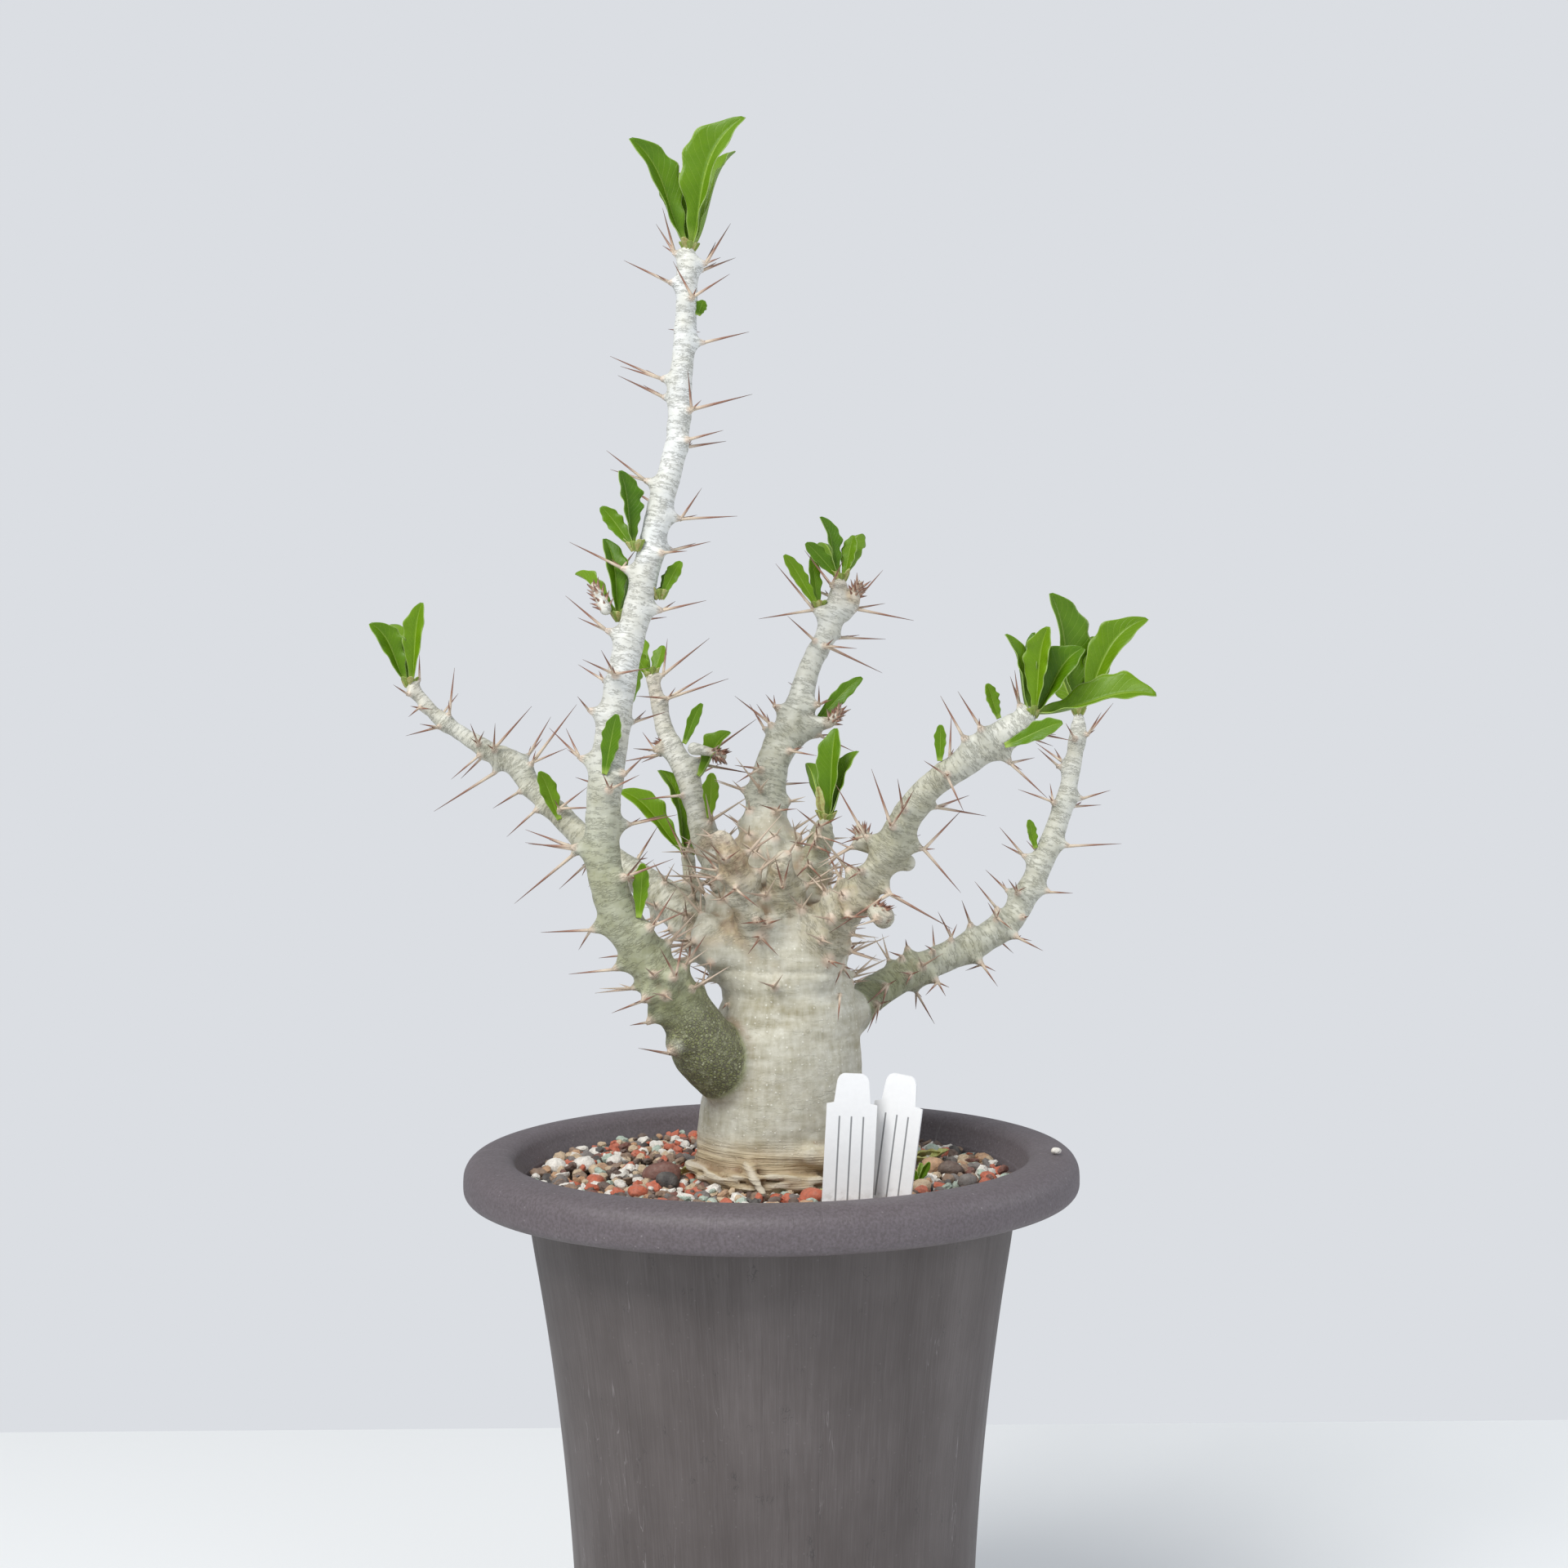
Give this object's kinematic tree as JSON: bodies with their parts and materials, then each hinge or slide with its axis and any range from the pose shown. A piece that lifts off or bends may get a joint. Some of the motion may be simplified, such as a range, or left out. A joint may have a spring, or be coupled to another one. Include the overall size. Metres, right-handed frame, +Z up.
{
  "type": "potted kudu lily",
  "caption": "Thorny succulent with a swollen trunk, spiny branches and wavy leaves, in a round rimmed planter topped with gravel.",
  "frame": {"origin": "centre of the pot's flat underside", "axes": "+Z up, +X to the right as seen from the front, +Y away from the viewer"},
  "size_m": [0.2912, 0.21, 0.5707],
  "materials": {
    "pot": "matte, fine brushed grain",
    "gravel": "rough mixed gravel",
    "bark": "satin wrinkled bark",
    "leaf": "waxy living leaf",
    "tag": "satin",
    "pebble": "rough"
  },
  "bodies": {
    "root": {"leaf_back_left_low": "leaf", "leaf_back_left_round": "leaf", "leaf_back_left_thin": "leaf", "leaf_centre_side": "leaf", "leaf_left_back_side": "leaf", "leaf_right_front_bud": "leaf", "leaf_right_front_small": "leaf", "leaf_right_front_under": "leaf", "leaf_right_low_bud": "leaf", "leaf_tall_back": "leaf", "leaf_tall_front": "leaf", "leaf_tall_low": "leaf", "leaf_tall_thin": "leaf", "leaves_back_left_tip": "leaf", "leaves_back_twig": "leaf", "leaves_centre_left": "leaf", "leaves_centre_tip": "leaf", "leaves_crown_right": "leaf", "leaves_left_back_tip": "leaf", "leaves_right_front_tip": "leaf", "leaves_right_low_tip": "leaf", "leaves_tall_left": "leaf", "leaves_tall_right": "leaf", "leaves_tall_spur": "leaf", "leaves_tall_tip": "leaf", "pot": "pot", "rim_pebble": "pebble", "soil": "gravel", "stem_back_left": "bark", "stem_centre": "bark", "stem_left_back": "bark", "stem_right_front": "bark", "stem_right_low": "bark", "stem_tall": "bark", "tag_left": "tag", "tag_right": "tag", "trunk": "bark"}
  },
  "joints": []
}
